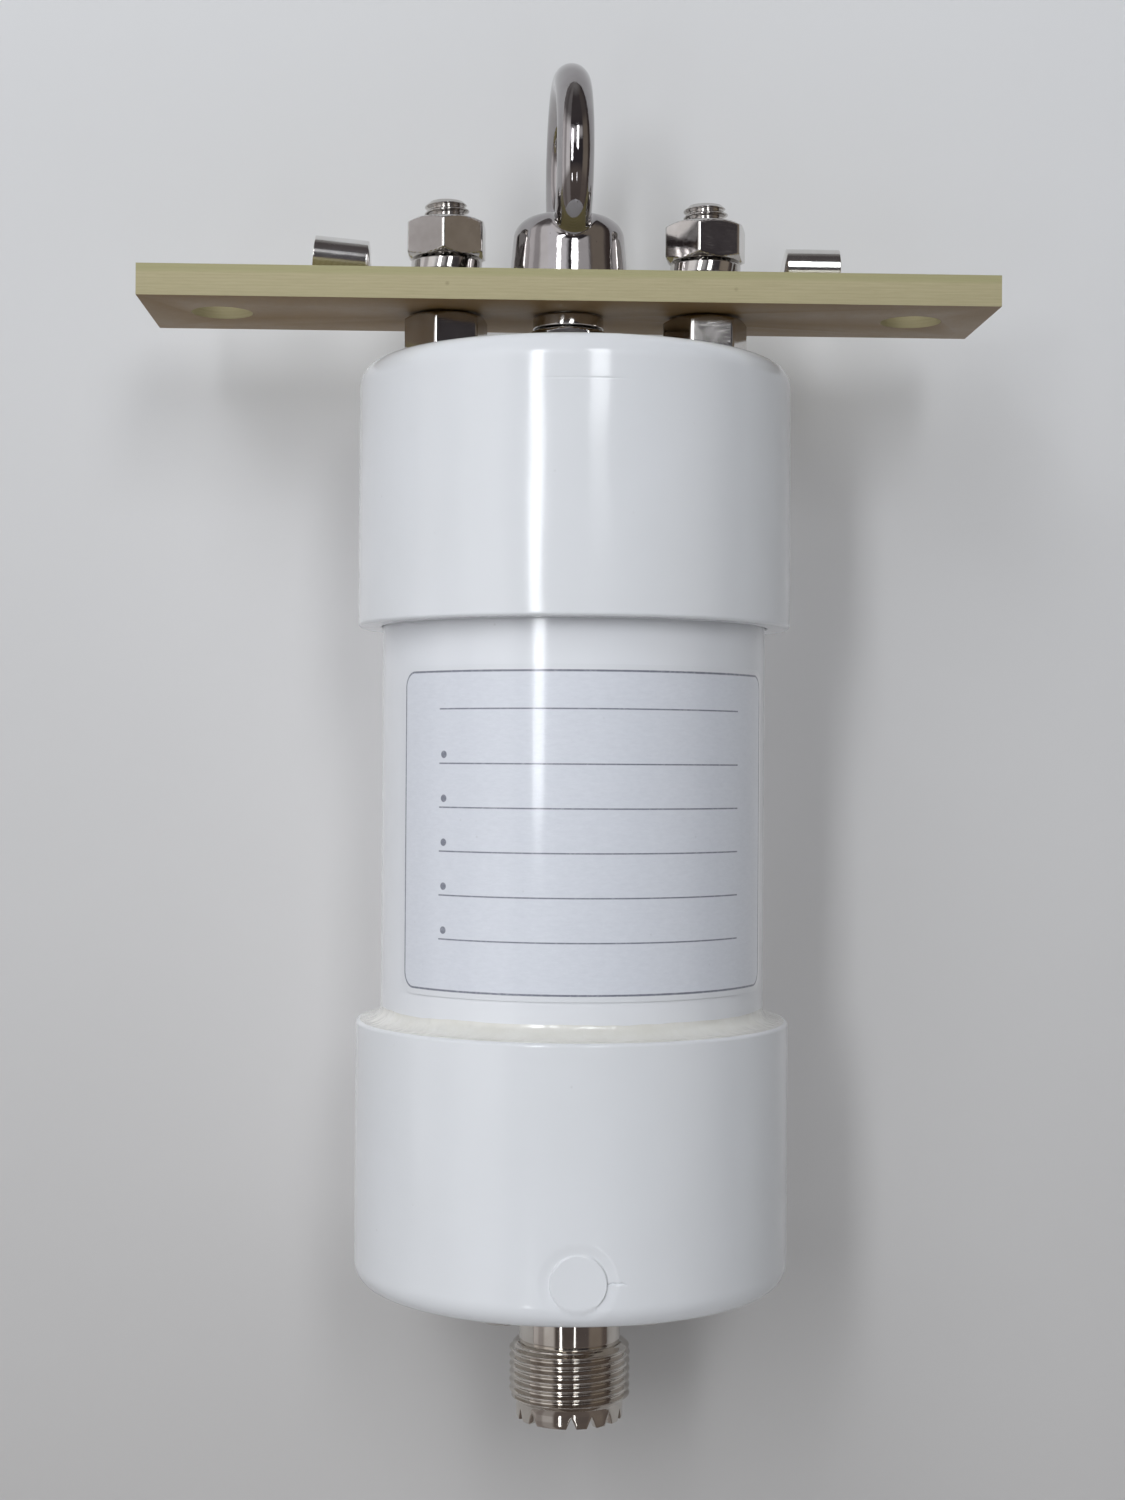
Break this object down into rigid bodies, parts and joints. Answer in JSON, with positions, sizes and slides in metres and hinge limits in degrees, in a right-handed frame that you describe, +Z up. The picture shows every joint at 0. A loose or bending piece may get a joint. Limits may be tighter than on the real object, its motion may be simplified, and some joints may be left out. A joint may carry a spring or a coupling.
{
  "type": "antenna balun",
  "caption": "White tubular antenna balun with two cemented end caps, a cross bar with wire terminals, a hanging ring on top and a coaxial socket underneath.",
  "frame": {"origin": "centre of the hanging ring, from which the whole part hangs", "axes": "+Z up along the tube, +X along the cross bar, -Y the side with the paper label"},
  "size_m": [0.11, 0.0564, 0.1772],
  "materials": {
    "white_plastic": "glossy moulded plastic",
    "clear_cement": "glossy set cement",
    "label_paper": "satin label paper",
    "glass_epoxy": "satin glass-epoxy laminate",
    "polished_steel": "polished stainless steel",
    "plated_steel": "bright plated steel",
    "tinned_copper": "bright tin plate",
    "nickel_plate": "bright nickel plate",
    "white_insulator": "waxy white insulator",
    "ferrite": "fine grained dark ferrite",
    "green_enamel": "green enamelled copper wire",
    "red_enamel": "red enamelled copper wire"
  },
  "bodies": {
    "root": {"eye_nut": "polished_steel", "cross_bar": "glass_epoxy", "centre_bolt": "plated_steel", "centre_nut": "plated_steel", "centre_spring_washer": "plated_steel", "terminal_bolt_left": "plated_steel", "terminal_bolt_right": "plated_steel", "lower_nut_left": "plated_steel", "lower_nut_right": "plated_steel", "flat_washer_left": "plated_steel", "flat_washer_right": "plated_steel", "wire_lug_left": "tinned_copper", "wire_lug_right": "tinned_copper", "spring_washer_left": "plated_steel", "spring_washer_right": "plated_steel", "upper_nut_left": "plated_steel", "upper_nut_right": "plated_steel", "body_tube": "white_plastic", "top_cap": "white_plastic", "bottom_cap": "white_plastic", "cement_bead": "clear_cement", "label": "label_paper", "socket_shell": "nickel_plate", "socket_insulator": "white_insulator", "socket_contact": "nickel_plate", "flange_screw_1": "plated_steel", "flange_screw_2": "plated_steel", "flange_screw_3": "plated_steel", "flange_screw_4": "plated_steel", "flange_nut_1": "plated_steel", "flange_nut_2": "plated_steel", "flange_nut_3": "plated_steel", "flange_nut_4": "plated_steel", "ground_tag": "tinned_copper", "terminal_tag_left": "tinned_copper", "terminal_tag_right": "tinned_copper", "ferrite_core": "ferrite", "secondary_winding": "green_enamel", "primary_winding": "red_enamel"}
  },
  "joints": []
}
